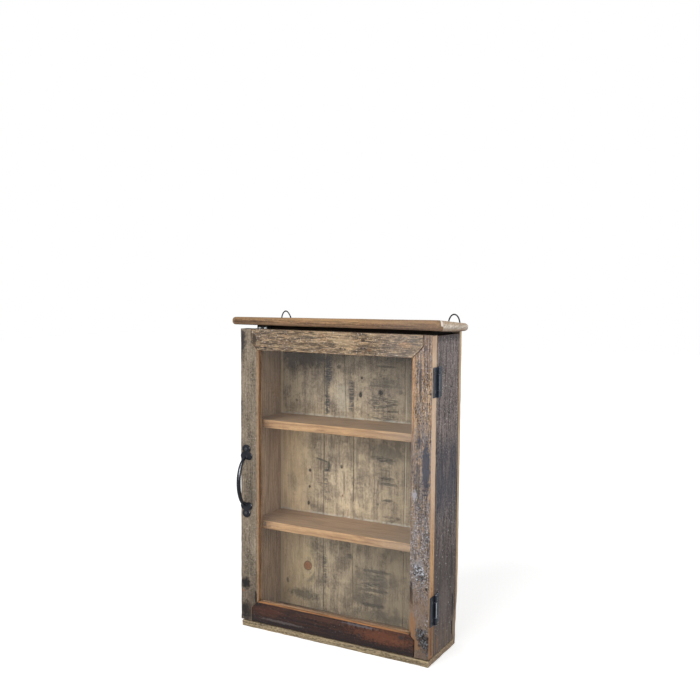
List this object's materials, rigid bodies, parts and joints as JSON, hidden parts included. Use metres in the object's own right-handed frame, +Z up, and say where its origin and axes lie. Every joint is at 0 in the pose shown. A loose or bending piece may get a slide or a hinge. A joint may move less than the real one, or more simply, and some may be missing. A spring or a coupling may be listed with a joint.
{
  "type": "wall mounted showcase",
  "caption": "Shallow wall showcase of reclaimed wood with a glazed hinged door, shelves, plank back, pull handle, magnetic catch and wire hangers.",
  "frame": {"origin": "a point on the wall side of the back planks, on the centre line, 280 mm above the underside", "axes": "+Z up, +Y into the wall, so the door faces -Y, and +X to the right as the door is faced, towards its hinges"},
  "size_m": [0.4185, 0.1608, 0.5853],
  "materials": {
    "wood_side": "weathered dark grey-brown, matt",
    "wood_top": "warm brown, worn, low sheen",
    "wood_bottom": "yellowish olive, rough",
    "wood_back": "yellow-brown with dark saw marks, matt",
    "wood_shelf": "clean orange-tan, satin",
    "wood_stile_left": "grey olive, weathered",
    "wood_stile_right": "grey and brown, heavily weathered",
    "wood_rail_top": "brown, rough grain",
    "wood_rail_bottom": "dark reddish brown, low sheen",
    "wood_bead": "brown, satin",
    "glass": "clear float glass",
    "black_iron": "black, semi-gloss",
    "screw_steel": "blackened, satin",
    "bright_steel": "bright zinc",
    "catch_plastic": "black, matt"
  },
  "bodies": {
    "case": {"side_panel_left": "wood_side", "side_panel_right": "wood_side", "bottom_board": "wood_bottom", "carcass_top": "wood_side", "shelf_lower": "wood_shelf", "shelf_upper": "wood_shelf", "top_board": "wood_top", "back_plank_1": "wood_back", "back_plank_2": "wood_back", "back_plank_3": "wood_back", "back_plank_4": "wood_back", "hinge_upper_case_leaf": "black_iron", "hinge_upper_pin": "black_iron", "hinge_upper_case_screw_1": "screw_steel", "hinge_upper_case_screw_2": "screw_steel", "hinge_lower_case_leaf": "black_iron", "hinge_lower_pin": "black_iron", "hinge_lower_case_screw_1": "screw_steel", "hinge_lower_case_screw_2": "screw_steel", "catch_case": "catch_plastic", "catch_pole_left": "bright_steel", "catch_pole_right": "bright_steel", "catch_screw": "screw_steel", "hanger_strap_left": "black_iron", "hanger_strap_right": "black_iron", "hanger_screw_left": "screw_steel", "hanger_screw_right": "screw_steel"},
    "door": {"door_stile_left": "wood_stile_left", "door_stile_right": "wood_stile_right", "door_rail_top": "wood_rail_top", "door_rail_bottom": "wood_rail_bottom", "glass_pane": "glass", "glazing_bead_left": "wood_bead", "glazing_bead_right": "wood_bead", "glazing_bead_bottom": "wood_bead", "glazing_bead_top": "wood_bead", "pull_handle": "black_iron", "handle_screw_upper": "screw_steel", "handle_screw_lower": "screw_steel", "hinge_upper_door_leaf": "black_iron", "hinge_upper_door_screw_1": "screw_steel", "hinge_upper_door_screw_2": "screw_steel", "hinge_lower_door_leaf": "black_iron", "hinge_lower_door_screw_1": "screw_steel", "hinge_lower_door_screw_2": "screw_steel", "striker_plate": "bright_steel", "striker_screw": "screw_steel"},
    "ring_left": {"hanger_ring_left": "black_iron"},
    "ring_right": {"hanger_ring_right": "black_iron"}
  },
  "joints": [
    {"name": "door_swing", "type": "hinge", "parent": "case", "child": "door", "pos_m": [0.1932, -0.106, 0], "axis": [0, 0, 1], "range_deg": [0, 175]},
    {"name": "left_ring_turn", "type": "hinge", "parent": "case", "child": "ring_left", "pos_m": [-0.174, 0.0031, 0.2848], "axis": [1, 0, 0], "range_deg": [-175, 0]},
    {"name": "right_ring_turn", "type": "hinge", "parent": "case", "child": "ring_right", "pos_m": [0.174, 0.0031, 0.2848], "axis": [1, 0, 0], "range_deg": [-175, 0]}
  ]
}
